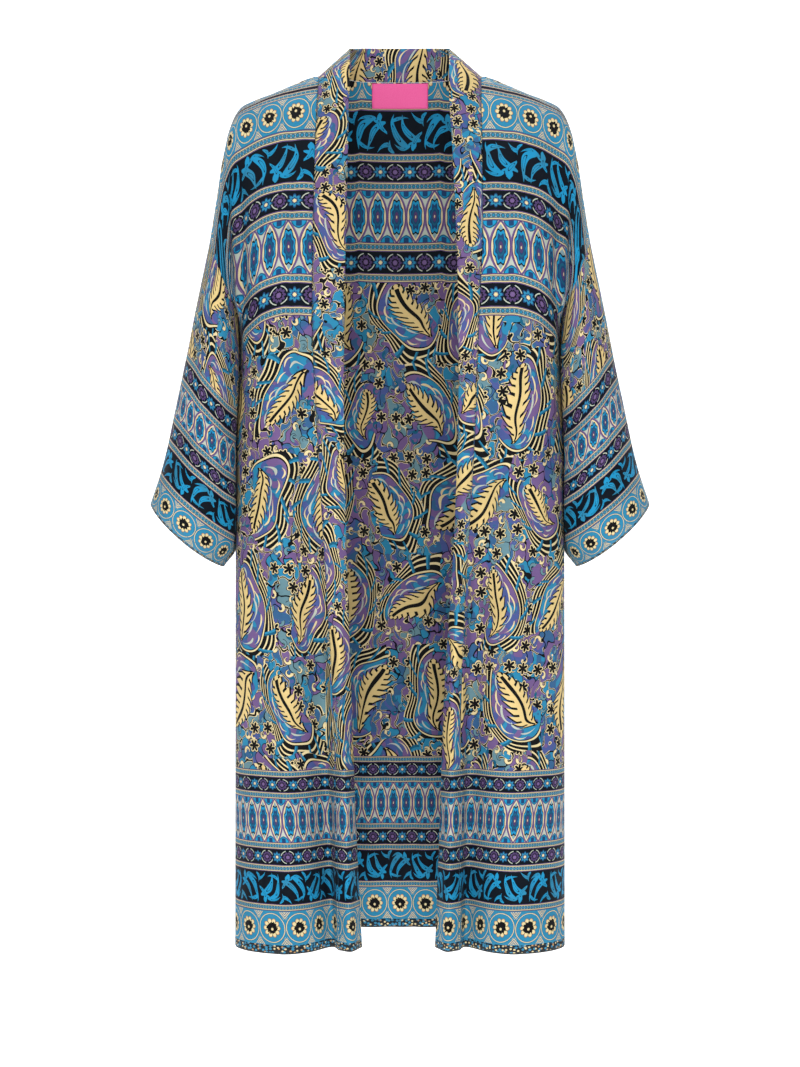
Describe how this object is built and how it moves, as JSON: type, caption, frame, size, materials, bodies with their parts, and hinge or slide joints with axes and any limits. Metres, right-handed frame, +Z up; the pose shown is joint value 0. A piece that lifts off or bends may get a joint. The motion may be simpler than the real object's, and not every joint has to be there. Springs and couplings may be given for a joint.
{
  "type": "kimono robe",
  "caption": "Open-front kimono robe with drop shoulders, wide sleeves, front bands and a standing back neck, printed with paisley and borders.",
  "frame": {"origin": "on the centre line, level with the two points where the neck meets the shoulders, where the wearer's shoulders hold the garment up", "axes": "+Z up, -Y is the garment's front, +X is the wearer's left"},
  "size_m": [0.5718, 0.2081, 1.0399],
  "materials": {
    "panel": "printed viscose crepe, soft",
    "band": "printed viscose crepe, folded double",
    "label": "woven satin tape, plain pink"
  },
  "bodies": {
    "root": {"back": "panel", "front_right": "panel", "front_left": "panel", "band_right": "band", "band_left": "band", "neckband": "band", "sleeve_right": "panel", "sleeve_left": "panel", "label": "label"}
  },
  "joints": []
}
